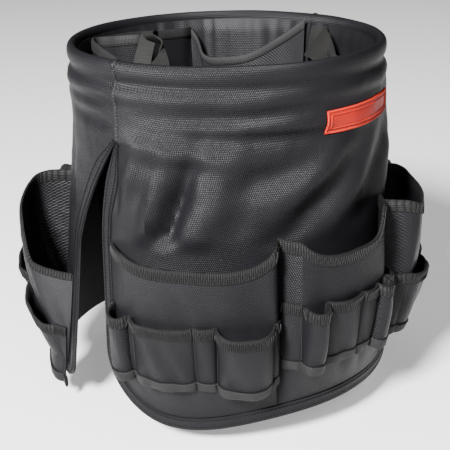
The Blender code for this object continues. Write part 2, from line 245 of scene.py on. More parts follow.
class Column:
    """A stretch of a flap between two dividers, with a bellows pocket and a row of sleeves.

    folds are the widths, as shares, of the pocket's two side walls; mouth is the height of its
    mouth at the left, middle and right; sleeves are (from, to, depth); slump lowers the right end;
    lift raises the row of sleeves.
    """

    def __init__(self, flap, number, left, right, depth, folds, mouth, sleeves, slump=0.0, lift=0.0):
        self.flap = flap
        self.number = number
        self.left = left
        self.right = right
        self.depth = depth
        self.folds = folds
        self.mouth = mouth
        self.sleeves = sleeves
        self.slump = slump
        self.lift = lift
        self.seed = number * 7.3 + flap.middle

    def side(self, z, right):
        """Where the column ends on that side, as a length round the skirt."""
        sign = 1 if right else -1
        divider = self.right if right else self.left
        if divider is None:
            return sign * (self.flap.half_width(z) - POCKET_BORDER)
        return arc_length(divider) - sign * 0.0006

    def s(self, u, z):
        """Length round the skirt of a share u of the column, from its left side."""
        return mix(self.side(z, False), self.side(z, True), u)

    def width(self):
        return self.side(POCKET_TOP, True) - self.side(POCKET_TOP, False)

    def bottom(self, u):
        """Height of the pocket's sewn bottom."""
        return self.flap.hem(self.s(u, HEM + POCKET_BORDER), POCKET_BORDER)

    def drop(self, u):
        """How far the pocket has slumped there."""
        return self.slump * smooth((u - 0.10) / 0.90)

    def mouth_height(self, u):
        """Height of the mouth, which climbs where the side walls fold back to the flap."""
        left, middle, right = self.mouth
        away = 2 * u - 1
        end, fold = (left, self.folds[0]) if away < 0 else (right, self.folds[1])
        share = min(1.0, abs(away) / (1 - 1.5 * fold))
        level = mix(middle, end, share ** 5) + 0.0014 * waviness(u, 0.0, 0.21, self.seed)
        return level - self.drop(u)

    def outline(self, u, rise):
        """The pocket seen from above: out from the flap at each side to a flat front."""
        full = 1.0
        for share, fold in ((u, self.folds[0]), (1 - u, self.folds[1])):
            x = max(0.0, share) / (fold * mix(0.45, 1.0, rise))
            full *= x / (1 + x ** 5) ** 0.2
        return full

    def stand_off(self, u, z):
        """How far the pocket's cloth stands off the flap, with its sway and low pleats."""
        low = self.bottom(u)
        rise = clamp((z - low) / (POCKET_TOP - low))
        full = 1 - (1 - rise) ** 2.0
        sway = 1 + 0.12 * waviness(u, z * 3, 0.32, self.seed) * rise
        pleat = 0.0060 * waviness(u * 1.4 + z * 2.6, z, 0.12, self.seed + 2) * (1 - rise)
        return GAP + self.outline(u, rise) * (self.depth * full * sway + pleat * smooth(rise * 4))

    def shift(self, u):
        """How far the row of sleeves lies above its level place."""
        return self.lift - self.drop(u)

    def sleeve_rise(self, u, z):
        """How far the strip of sleeves bulges off the pocket."""
        z -= self.shift(u)
        up = clamp((z - SLEEVE_BOTTOM) / (SLEEVE_TOP - SLEEVE_BOTTOM))
        for low, high, depth in self.sleeves:
            if low < u < high:
                share = (u - low) / (high - low)
                belly = max(0.0, 1 - abs(2 * share - 1) ** 3.2) ** 0.72
                dent = 1 - 0.10 * waviness(share, z * 8, 0.45, self.seed + low * 9)
                return depth * mix(1.0, 0.9 + 0.15 * dent, up) * belly
        return 0.0

    def on_flap(self, u, z, extra):
        """A point that far outside the flap's outer face."""
        base = self.flap.radius(z) + CLOTH + GAP
        return self.flap.place(self.s(u, z), z, base + extra)


HALVES = ((0.07, 0.46, 0.017), (0.54, 0.93, 0.018))
COLUMNS = (
    Column(FRONT, 1, None, -35.0, 0.026, (0.24, 0.040), (-0.170, -0.1740, -0.154),
           ((0.055, 0.200, 0.011), (0.235, 0.560, 0.008), (0.570, 0.665, 0.003),
            (0.675, 0.950, 0.018))),
    Column(FRONT, 2, -35.0, 15.5, 0.026, (0.15, 0.30), (-0.153, -0.1690, -0.144),
           ((0.120, 0.250, 0.014), (0.275, 0.500, 0.004), (0.515, 0.640, 0.003),
            (0.660, 0.760, 0.012), (0.800, 0.900, 0.007)), lift=0.014),
    Column(FRONT, 3, 15.5, 58.0, 0.038, (0.07, 0.09), (-0.150, -0.1600, -0.150),
           ((0.07, 0.46, 0.010), (0.54, 0.93, 0.010))),
    Column(FRONT, 4, 58.0, None, 0.036, (0.10, 0.24), (-0.150, -0.1640, -0.168), HALVES),
    Column(REAR, 1, None, -23.5, 0.040, (0.22, 0.09), (-0.160, -0.1640, -0.148), HALVES),
    Column(REAR, 2, -23.5, 23.5, 0.036, (0.09, 0.09), (-0.148, -0.1660, -0.148),
           ((0.08, 0.92, 0.012),)),
    Column(REAR, 3, 23.5, None, 0.050, (0.09, 0.30), (-0.150, -0.1560, -0.168),
           ((0.06, 0.46, 0.016), (0.52, 0.90, 0.010)), slump=0.056),
)


# --- meshes -------------------------------------------------------------------------------

def spread(low, high, count):
    return [mix(low, high, i / count) for i in range(count + 1)]


def eased(low, high, count):
    """Stops that lie closer together towards both ends."""
    return [mix(low, high, (1 - math.cos(math.pi * i / count)) / 2) for i in range(count + 1)]


def link(name, mesh, finish, sharp=40.0):
    """An object in the scene for a finished mesh, smooth apart from its sharp edges."""
    mesh.materials.clear()
    mesh.materials.append(finish)
    made = bpy.data.objects.new(name, mesh)
    bpy.context.scene.collection.objects.link(made)
    mesh.shade_smooth()
    mesh.set_sharp_from_angle(angle=math.radians(sharp))
    return made


def grid(us, vs, place, size):
    """A bmesh grid bent to place(u, v), with a UV map in metres over size."""
    bm = bmesh.new()
    layer = bm.loops.layers.uv.new("cloth")
    columns, rows = len(us) - 1, len(vs) - 1
    bmesh.ops.create_grid(bm, x_segments=columns, y_segments=rows, size=0.5)
    bm.verts.index_update()
    coords = [(us[round((vert.co.x + 0.5) * columns)], vs[round((vert.co.y + 0.5) * rows)])
              for vert in bm.verts]
    low_u, low_v = us[0], vs[0]
    scale_u = size[0] / (us[-1] - us[0])
    scale_v = size[1] / (vs[-1] - vs[0])
    for face in bm.faces:
        for loop in face.loops:
            u, v = coords[loop.vert.index]
            loop[layer].uv = ((u - low_u) * scale_u, (v - low_v) * scale_v)
    for vert in bm.verts:
        vert.co = place(*coords[vert.index])
    return bm


def solid(bm, thickness, outward):
    """Thickens a sheet on the side that its face looks to, or on the other side."""
    mesh = bpy.data.meshes.new("sheet")
    bm.to_mesh(mesh)
    bm.free()
    carrier = bpy.data.objects.new("sheet", mesh)
    bpy.context.scene.collection.objects.link(carrier)
    shell = carrier.modifiers.new("Thickness", "SOLIDIFY")
    shell.thickness = thickness
    shell.offset = 1.0 if outward else -1.0
    shell.use_even_offset = False
    shell.use_quality_normals = True
    graph = bpy.context.evaluated_depsgraph_get()
    made = bpy.data.meshes.new_from_object(carrier.evaluated_get(graph))
    bpy.data.objects.remove(carrier)
    bpy.data.meshes.remove(mesh)
    return made


def cloth(name, us, vs, place, thickness, finish, size, outward=True):
    """A sheet of cloth bent to place(u, v); size is its width and height for the weave."""
    return link(name, solid(grid(us, vs, place, size), thickness, outward), finish)


def surface_normal(place, u, v, step=0.004):
    """Outward direction of the sheet place(u, v)."""
    across = place(min(1.0, u + step), v) - place(max(0.0, u - step), v)
    up = place(u, min(1.0, v + step)) - place(u, max(0.0, v - step))
    return across.cross(up).normalized()


def half_in(place, thickness):
    """The middle of a sheet whose inner face is place."""
    return lambda u, v: place(u, v) + surface_normal(place, u, v) * thickness / 2


def length_along(place, v, count):
    """Length of the line at that v of a sheet."""
    stops = [place(u, v) for u in spread(0.0, 1.0, count)]
    return sum((a - b).length for a, b in zip(stops, stops[1:]))


def hug(name, us, place, edge, width, finish, length, thickness=0.0006, stand=0.0011):
    """A tape folded over the edge v = edge of a sheet, width deep on both of its faces.

    place(u, v) is the sheet's middle; edge is 0 or 1; width is in v.
    """
    sign = 1.0 if edge == 1 else -1.0
    face = ((width, stand), (width * 0.5, stand * 1.12), (width * 0.08, stand), (0.0, stand * 0.55))
    section = face + tuple((inset, -out) for inset, out in reversed(face))
    if edge == 0:
        section = tuple(reversed(section))

    def tape(u, k):
        inset, out = section[round(k)]
        v = edge - sign * inset
        normal = surface_normal(place, u, clamp(v))
        lift = (place(u, edge) - place(u, edge - sign * 0.02)).normalized()
        tip = lift * 0.0007 if inset == 0.0 else Vector((0.0, 0.0, 0.0))
        return place(u, v) + normal * out + tip

    bm = grid(us, list(range(len(section))), tape, (length, TAPE_WIDTH * 2.2))
    return link(name, solid(bm, thickness, True), finish, 50.0)


def thread(name, paths, finish, radius):
    """Sewing thread that follows each list of points."""
    line = bpy.data.curves.new(name, "CURVE")
    line.dimensions = "3D"
    line.bevel_depth = radius
    line.bevel_resolution = 0
    line.resolution_u = 1
    line.use_fill_caps = True
    for path in paths:
        spline = line.splines.new("POLY")
        spline.points.add(len(path) - 1)
        for point, co in zip(spline.points, path):
            point.co = (*co, 1.0)
    carrier = bpy.data.objects.new(name, line)
    bpy.context.scene.collection.objects.link(carrier)
    graph = bpy.context.evaluated_depsgraph_get()
    mesh = bpy.data.meshes.new_from_object(carrier.evaluated_get(graph))
    bpy.data.objects.remove(carrier)
    bpy.data.curves.remove(line)
    return link(name, mesh, finish, 60.0)


def zigzag(place, middle, ends, count, reach):
    """A seam that runs to and fro across the tape on a sheet's top edge."""
    line = []
    for i in range(count + 1):
        u = mix(*ends, i / count)
        v = 1 - reach * (0.10 if i % 2 else 0.92)
        line.append(middle(u, v) + surface_normal(place, u, v) * THREAD_STAND)
    return line


def dashes(points, stitch, space=0.0011):
    """Splits a line into the lengths of thread that show between its needle holes."""
    found, piece, run, drawing = [], [], 0.0, True
    for a, b in zip(points, points[1:]):
        start, length = 0.0, (b - a).length
        while start < length:
            step = min(length - start, (stitch if drawing else space) - run)
            if drawing:
                if not piece:
                    piece.append(a.lerp(b, start / length))
                piece.append(a.lerp(b, (start + step) / length))
            start += step
            run += step
            if run >= (stitch if drawing else space) - 1e-9:
                if drawing and len(piece) > 1:
                    found.append([piece[0], piece[-1]])
                piece, run, drawing = [], 0.0, not drawing
    return found


# --- finishes -----------------------------------------------------------------------------

class Nodes:
    """Short calls for building one material's node tree."""

    def __init__(self, name):
        self.material = bpy.data.materials.new(name)
        self.material.use_nodes = True
        self.tree = self.material.node_tree
        self.shader = self.tree.nodes["Principled BSDF"]

    def add(self, kind, **values):
        node = self.tree.nodes.new(kind)
        for key, value in values.items():
            setattr(node, key, value)
        return node

    def feed(self, socket, value):
        if isinstance(value, bpy.types.NodeSocket):
            self.tree.links.new(value, socket)
        else:
            socket.default_value = value

    def math(self, operation, a, b=0.0):
        node = self.add("ShaderNodeMath", operation=operation)
        self.feed(node.inputs[0], a)
        self.feed(node.inputs[1], b)
        return node.outputs[0]

    def noise(self, vector, scale, detail=2.0):
        node = self.add("ShaderNodeTexNoise")
        self.feed(node.inputs["Vector"], vector)
        node.inputs["Scale"].default_value = scale
        node.inputs["Detail"].default_value = detail
        return node.outputs["Fac"]

    def scaled(self, vector, scale):
        node = self.add("ShaderNodeMapping")
        self.feed(node.inputs["Vector"], vector)
        node.inputs["Scale"].default_value = scale
        return node.outputs["Vector"]

    def cloth_coordinates(self):
        return self.add("ShaderNodeUVMap", uv_map="cloth").outputs["UV"]

    def object_coordinates(self):
        return self.add("ShaderNodeTexCoord").outputs["Object"]

    def tint(self, colour, shade):
        """Colour times shade, on the shader's base colour."""
        node = self.add("ShaderNodeVectorMath", operation="SCALE")
        node.inputs[0].default_value = colour
        self.feed(node.inputs["Scale"], shade)
        self.tree.links.new(node.outputs[0], self.shader.inputs["Base Color"])

    def bump(self, height, strength, distance):
        node = self.add("ShaderNodeBump")
        node.inputs["Strength"].default_value = strength
        node.inputs["Distance"].default_value = distance
        self.feed(node.inputs["Height"], height)
        self.tree.links.new(node.outputs["Normal"], self.shader.inputs["Normal"])

    def gloss(self, roughness, specular):
        self.shader.inputs["Roughness"].default_value = roughness
        self.shader.inputs["Specular IOR Level"].default_value = specular


def weave_finish(name, colour, pitch, relief, contrast):
    """Plain weave: rows of threads that lie a little aslant, with painted highlight on their tops and
    painted shade between them.

    pitch is the spacing of the threads in metres, relief is how strongly they stand up, and contrast
    is how strong the painted highlight on the threads and the painted shade in the gaps between them
    are.
    """
    n = Nodes(name)
    uv = n.cloth_coordinates()
    stray = n.add("ShaderNodeVectorMath", operation="MULTIPLY_ADD")
    wander = n.add("ShaderNodeTexNoise")
    n.feed(wander.inputs["Vector"], uv)
    wander.inputs["Scale"].default_value = 90.0
    n.feed(stray.inputs[0], wander.outputs["Color"])
    stray.inputs[1].default_value = (pitch * 0.5, pitch * 0.5, 0.0)
    n.feed(stray.inputs[2], uv)
    cells = n.scaled(stray.outputs[0], (1 / pitch, 1 / pitch, 1.0))
    parts = n.add("ShaderNodeSeparateXYZ")
    n.feed(parts.inputs[0], cells)
    u, v = parts.outputs[0], parts.outputs[1]
    skewed = n.math("ADD", u, n.math("MULTIPLY", v, 0.5))
    across = n.math("ABSOLUTE", n.math("SINE", n.math("MULTIPLY", skewed, math.pi)))
    along = n.math("ABSOLUTE", n.math("SINE", n.math("MULTIPLY", v, math.pi)))
    height = n.math("MULTIPLY", across, n.math("ADD", n.math("MULTIPLY", along, 0.65), 0.35))
    cloudy = n.noise(n.object_coordinates(), 40.0, 3.0)
    fibre = n.noise(uv, 1100.0, 2.0)
    # The threads' height paints their tops lighter and the gaps between them darker: painted
    # highlight and painted shade.
    shade = n.math("ADD", n.math("MULTIPLY", height, contrast), 1.0 - contrast * 0.5)
    shade = n.math("MULTIPLY", shade, n.math("ADD", n.math("MULTIPLY", cloudy, 0.50), 0.75))
    shade = n.math("MULTIPLY", shade, n.math("ADD", n.math("MULTIPLY", fibre, 1.6), 0.20))
    n.tint(colour, shade)
    n.bump(n.math("ADD", height, n.math("MULTIPLY", fibre, 0.5)), relief, pitch * 0.40)
    n.gloss(0.43, 0.095)
    return n.material


def rib_finish(name, colour, pitch, relief, contrast):
    """Ribbed tape: ribs across its length, with soft worn patches; pitch is their spacing."""
    n = Nodes(name)
    uv = n.cloth_coordinates()
    parts = n.add("ShaderNodeSeparateXYZ")
    n.feed(parts.inputs[0], uv)
    rib = n.math("ABSOLUTE", n.math("SINE", n.math("MULTIPLY", parts.outputs[0], math.pi / pitch)))
    fine = n.math("ABSOLUTE", n.math("SINE", n.math("MULTIPLY", parts.outputs[1], math.pi / 0.0012)))
    worn = n.noise(n.object_coordinates(), 60.0, 3.0)
    fibre = n.noise(uv, 1300.0, 2.0)
    # The ribs' height paints their crests lighter and the grooves between them darker: painted
    # highlight and painted shade.
    shade = n.math("ADD", n.math("MULTIPLY", rib, contrast), 1.0 - contrast * 0.6)
    shade = n.math("MULTIPLY", shade, n.math("ADD", n.math("MULTIPLY", worn, 0.7), 0.65))
    shade = n.math("MULTIPLY", shade, n.math("ADD", n.math("MULTIPLY", fibre, 1.0), 0.5))
    n.tint(colour, shade)
    n.bump(n.math("ADD", rib, n.math("MULTIPLY", fine, 0.5)), relief, 0.0007)
    n.gloss(0.50, 0.060)
    return n.material


def thread_finish(name, colour):
    """Dull sewing thread, lighter and darker in small random patches along it."""
    n = Nodes(name)
    tone_noise = n.noise(n.object_coordinates(), 900.0, 1.0)
    n.tint(colour, n.math("ADD", n.math("MULTIPLY", tone_noise, 0.8), 0.6))
    n.gloss(0.7, 0.05)
    return n.material


def floor_finish(name, colour, glow):
    """Plain pale floor that glows a little, so that it stays pale in shadow."""
    n = Nodes(name)
    grain = n.noise(n.object_coordinates(), 3.0, 2.0)
    n.tint(colour, n.math("ADD", n.math("MULTIPLY", grain, 0.02), 0.99))
    n.gloss(0.7, 0.1)
    n.shader.inputs["Emission Color"].default_value = (1.0, 1.0, 1.0, 1.0)
    n.shader.inputs["Emission Strength"].default_value = glow
    return n.material


FINISHES = {}


def make_finishes(colours):
    """Makes every finish that the pieces use."""
    FINISHES.update(
        weave=weave_finish("Polyester weave", colours.cloth, 0.0018, 0.60, 0.95),
        lining=weave_finish("Lining weave", colours.lining, 0.0020, 0.35, 0.5),
        tape=rib_finish("Binding tape", colours.tape, 0.0019, 0.70, 0.8),
        hem_tape=rib_finish("Sleeve hem tape", colours.hem, 0.0012, 0.30, 0.3),
        webbing=rib_finish("Webbing", colours.webbing, 0.0016, 0.40, 0.35),
        label=weave_finish("Label twill", colours.label, 0.0011, 0.35, 0.3),
        label_edge=rib_finish("Label embroidery", colours.label_edge, 0.0010, 0.60, 0.5),
        dark_thread=thread_finish("Dark thread", colours.thread),
        tape_thread=thread_finish("Tape thread", colours.tape_thread),
    )


# --- what a user would change -------------------------------------------------------------

def colour_property(name, description, default):
    return FloatVectorProperty(name=name, description=description, default=default, size=3,
                               min=0.0, max=1.0, subtype="COLOR")


def length_property(name, description, default):
    return FloatProperty(name=name, description=description, default=default, min=0.0,
                         unit="LENGTH", subtype="DISTANCE", precision=4)


class OrganizerColours(bpy.types.PropertyGroup):
    """Colours of the cloths, tapes and threads"""

    cloth: colour_property("Cloth", "Outer polyester cloth", (0.0034, 0.0032, 0.0039))
    lining: colour_property("Lining", "Lining and inner pockets", (0.0038, 0.0037, 0.0043))
    tape: colour_property("Binding tape", "Tape round the pockets' mouths", (0.0048, 0.0047, 0.0048))
    hem: colour_property("Sleeve hem", "Tape under the sleeves", (0.0082, 0.0081, 0.0084))
    webbing: colour_property("Webbing", "Straps inside", (0.0075, 0.0074, 0.0072))
    label: colour_property("Label", "Ground of the label", (0.185, 0.0056, 0.0028))
    label_edge: colour_property("Label border", "Embroidered border", (0.260, 0.0120, 0.0056))
    thread: colour_property("Thread", "Seams of the cloth", (0.0015, 0.0015, 0.0018))
    tape_thread: colour_property("Tape thread", "Zigzag over the tapes", (0.0150, 0.0148, 0.0145))
    floor: colour_property("Floor", "Studio floor", (0.45, 0.45, 0.45))


class OrganizerSizes(bpy.types.PropertyGroup):
    """Sizes of the cloth, rim roll and stitching"""

    sheet: length_property("Cloth", "Thickness of the cloth", 0.0012)
    roll_out: length_property("Roll width", "Width of the roll over the rim", 0.0110)
    roll_high: length_property("Roll height", "Height of the roll over the rim", 0.0150)
    zigzag: length_property("Zigzag", "Half the pitch of the zigzag seam", 0.0014)
    stitch: length_property("Stitch", "Length of a straight stitch", 0.0026)
    label_thick: length_property("Label", "Thickness of the label", 0.0009)
    floor_drop: length_property("Floor", "Depth of the floor below the rim", 0.3720)


# --- pieces -------------------------------------------------------------------------------

def declare(piece, body, nodes, flat=None):
    """Bakes the transform of a front or rear piece, hangs any other from its body, and hides the
    solids that it replaces; flat, its flat size where it is cloth, is not used.
    """
    if body in ("front", "rear"):
        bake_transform(piece)
    else:
        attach(piece, body)
    if nodes:
        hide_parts(*nodes)
    return piece


def edge_line(flap, inset, high=SLIT_TOP, count=64):
    """Points (s, z) along the flap's edge, that far inside it, down one side and up the other."""
    half = flap.half_width(HEM)
    wide = flap.corner[0]
    flat = half - wide
    turns = [math.sin(math.pi / 2 * i / 24) for i in range(1, 25)]
    stops = [-flat - wide * t for t in reversed(turns)]
    stops += spread(-flat, flat, count) + [flat + wide * t for t in turns]
    line = [(s * flap.half_width(flap.hem(s)) / half, flap.hem(s)) for s in stops]
    heights = spread(line[-1][1], high, 46)[1:]
    line += [(flap.half_width(z), z) for z in heights]
    line = [(-flap.half_width(z), z) for z in reversed(heights)] + line
    moved = []
    for i, (s, z) in enumerate(line):
        before, after = line[max(0, i - 1)], line[min(len(line) - 1, i + 1)]
        ds, dz = after[0] - before[0], after[1] - before[1]
        reach = inset / math.hypot(ds, dz) * mix(0.3, 1.0, smooth((high - z) / 0.030))
        moved.append((s - dz * reach, z + ds * reach))
    return moved


class ORGANIZER_OT_rim(bpy.types.Operator):
    """Builds the roll of cloth over the bucket's rim"""

    bl_idname = "organizer.rim"
    bl_label = "Rim roll"

    around = 0.036                  # length of cloth round the roll's section

    def execute(self, context):
        sizes = context.scene.organizer_sizes
        half_out = sizes.roll_out / 2 - sizes.sheet
        half_high = sizes.roll_high / 2 - sizes.sheet

        def place(angle, turn):
            return polar(angle, ROLL_RADIUS + half_out * math.cos(turn),
                         ROLL_MIDDLE + half_high * math.sin(turn))

        length = 2 * math.pi * ROLL_RADIUS
        bm = grid(spread(0.0, 360.0, 120), spread(0.0, 2 * math.pi, 16), place,
                  (length, self.around))
        bmesh.ops.remove_doubles(bm, verts=bm.verts[:], dist=0.00002)
        bmesh.ops.recalc_face_normals(bm, faces=bm.faces[:])
        mesh = bpy.data.meshes.new("rim_roll")
        bm.to_mesh(mesh)
        bm.free()
        roll = link("rim_roll", mesh, FINISHES["weave"])
        declare(roll, "collar", ["rim_fold"])
        return {"FINISHED"}


class ORGANIZER_OT_outer_cloth(bpy.types.Operator):
    """Builds the front and rear cloth from the rim to the hem, with its bound edge"""

    bl_idname = "organizer.outer_cloth"
    bl_label = "Outer cloth"

    left_after_cutting = 0.92       # share of the rectangle left by the slits and corners

    def execute(self, context):
        sizes = context.scene.organizer_sizes
        for flap in (FRONT, REAR):
            half = flap.half_width(HEM)
            wide = flap.corner[0]
            flat = half - wide
            turns = [math.sin(math.pi / 2 * i / 20) for i in range(1, 21)]
            stops = [-flat - wide * t for t in reversed(turns)]
            stops += spread(-flat, flat, 120) + [flat + wide * t for t in turns]

            def place(s, v):
                z = mix(flap.hem(s), ROLL_MIDDLE, min(v, 1.0))
                along = s * flap.half_width(z) / half
                if v > 1.0:
                    return flap.over_roll(along, (v - 1.0) / ROLL_OVER * ROLL_TURN)
                return flap.place(along, z, flap.face(along, z))

            width, height = 2 * half, OUTER_DROP * (1 + ROLL_OVER)
            rows = spread(0.0, 1.0, 120) + spread(1.0, 1 + ROLL_OVER, 14)[1:]
            body = cloth(f"{flap.name}_outer_cloth", stops, rows, place,
                         sizes.sheet, FINISHES["weave"], (width, height), outward=False)

            edge = edge_line(flap, 0.0)
            inner = edge_line(flap, TAPE_WIDTH + 0.0015)
            across = (0.0, 0.0006, 0.5, 0.9994, 1.0)
            lift = (-0.0010, 0.0007, 0.0011, 0.0009, 0.0001)

            def binding(k, row):
                row = round(row)
                a, b = edge[round(k)], inner[round(k)]
                s, z = mix(a[0], b[0], across[row]), mix(a[1], b[1], across[row])
                return flap.place(s, z, flap.face(s, z) + lift[row])

            bm = grid(list(range(len(edge))), list(range(5)), binding, (1.05, TAPE_WIDTH))
            tape = link(f"{flap.name}_edge_tape", solid(bm, 0.0007, True), FINISHES["weave"], 60.0)

            rows = []
            for inset in (0.0026, TAPE_WIDTH - 0.0006):
                line = [flap.place(s, z, flap.face(s, z) + THREAD_STAND)
                        for s, z in edge_line(flap, inset)]
                rows += dashes(line, sizes.stitch)
            seam = thread(f"{flap.name}_edge_stitches", rows, FINISHES["dark_thread"], EDGE_THREAD)
            declare(seam, flap.name, [])
            declare(tape, flap.name, [f"{flap.name}_edge_binding"])
            declare(body, flap.name, [f"{flap.name}_collar", f"{flap.name}_flap"],
                    flat=(round(width, 3), OUTER_CLOTH))
        return {"FINISHED"}


class ORGANIZER_OT_seams(bpy.types.Operator):
    """Builds the two side seams above the slits"""

    bl_idname = "organizer.seams"
    bl_label = "Side seams"

    def execute(self, context):
        sizes = context.scene.organizer_sizes
        for side, angle in (("left", -90.0), ("right", 90.0)):
            edge = arc_length(math.copysign(SEAM_ANGLE, angle))

            def ridge(offset, v):
                height = 0.0006 * (1 - abs(offset / 0.9) ** 3) - 0.0002
                if v > 1.0:
                    top = FRONT.over_roll(edge, (v - 1.0) / ROLL_OVER * ROLL_TURN)
                    turn = (v - 1.0) / ROLL_OVER * ROLL_TURN
                    out = top.xy.length + height * math.cos(turn)
                    return polar(angle + offset, out, top.z + height * math.sin(turn))
                z = mix(SLIT_TOP + 0.001, ROLL_MIDDLE, v)
                return polar(angle + offset, FRONT.face(edge, z) + height, z)

            ups = spread(0.0, 1.0, 26) + spread(1.0, 1.04, 8)[1:]
            felled = cloth(f"{side}_felled_seam", spread(-0.9, 0.9, 6), ups, ridge, 0.0005,
                           FINISHES["weave"], (0.0050, 0.075), outward=True)
            line = [ridge(0.55, v) + polar(angle, 0.0005, 0.0) for v in spread(0.01, 1.0, 40)]
            stitches = thread(f"{side}_seam_stitches", dashes(line, sizes.stitch),
                              FINISHES["tape_thread"], STRAIGHT_THREAD)
            declare(felled, "collar", [f"{side}_side_seam"])
            declare(stitches, "collar", [])
        return {"FINISHED"}


class ORGANIZER_OT_label(bpy.types.Operator):
    """Builds the blank label with its embroidered border"""

    bl_idname = "organizer.label"
    bl_label = "Label"

    middle = 4.5                    # degrees round the bucket, as is half its width
    half = 20.5
    high = -0.0420
    low = -0.0640
    radius = 0.161
    flat = (0.114, 0.022)
    borders = (("outer", 0.0010, 0.0020), ("inner", 0.0046, 0.0008))   # margin, width

    def spot(self, angle, z, out):
        """A point that far outside the collar's cloth."""
        s = arc_length(angle)
        return polar(angle, FRONT.face(s, z) + out, z)

    def execute(self, context):
        thick = context.scene.organizer_sizes.label_thick
        left, right = self.middle - self.half, self.middle + self.half
        ground = cloth("label_ground", spread(left, right, 60), spread(self.low, self.high, 14),
                       lambda a, z: self.spot(a, z, 0.0002), thick, FINISHES["label"], self.flat)
        turn = math.degrees(1 / self.radius)
        borders = []
        for name, margin, wide in self.borders:
            a0, a1 = left + margin * turn, right - margin * turn
            z0, z1 = self.low + margin, self.high - margin
            corners = ((a0, z0), (a1, z0), (a1, z1), (a0, z1))
            for number, (start, end) in enumerate(zip(corners, corners[1:] + corners[:1]), 1):
                level = start[1] == end[1]

                def bar(u, v):
                    side = (v - 0.5) * wide
                    a = mix(start[0], end[0], u) + (0.0 if level else side * turn)
                    z = mix(start[1], end[1], u) + (side if level else 0.0)
                    return self.spot(a, z, 0.0002 + thick + 0.0007 * math.sin(math.pi * v))

                bm = grid(spread(0.0, 1.0, 50 if level else 10), spread(0.0, 1.0, 6), bar,
                          (0.110 if level else 0.018, wide))
                borders.append(link(f"label_border_{name}_{number}", solid(bm, 0.0002, True),
                                    FINISHES["label_edge"], 60.0))
        for border in borders:
            declare(border, "collar", [])
        declare(ground, "collar", ["woven_label"], flat=self.flat)
        return {"FINISHED"}


class ORGANIZER_OT_pockets(bpy.types.Operator):
    """Builds the bellows pockets of the skirt with their bound mouths"""

    bl_idname = "organizer.pockets"
    bl_label = "Outer pockets"

    def execute(self, context):
        sizes = context.scene.organizer_sizes
        for column in COLUMNS:
            flap = column.flap
            base = f"{flap.name}_pocket_{column.number}"

            def height(u, v):
                return mix(column.bottom(u), column.mouth_height(u), v)

            def place(u, v):
                z = height(u, v)
                return column.on_flap(u, z, column.stand_off(u, z))

            middle = half_in(place, sizes.sheet)
            width = column.width()
            us = eased(0.0, 1.0, 64)
            body = cloth(f"{base}_cloth", us, spread(0.0, 1.0, 46), place, sizes.sheet,
                         FINISHES["weave"], (width * 1.15, POCKET_CLOTH))
            reach = TAPE_WIDTH / 0.160
            tape = hug(f"{base}_mouth_tape", eased(0.004, 0.996, 72), middle, 1, reach,
                       FINISHES["tape"], width * 1.15)
            zig = zigzag(place, middle, (0.01, 0.99), round(width * 1.15 / sizes.zigzag), reach)
            seam = thread(f"{base}_mouth_zigzag", [zig], FINISHES["tape_thread"], ZIGZAG_THREAD)
            skirt = f"{flap.name}_skirt"
            declare(seam, skirt, [])
            declare(tape, skirt, [f"{base}_binding"])
            declare(body, skirt, [base], flat=(round(width * 1.25, 3), POCKET_CLOTH))
        return {"FINISHED"}


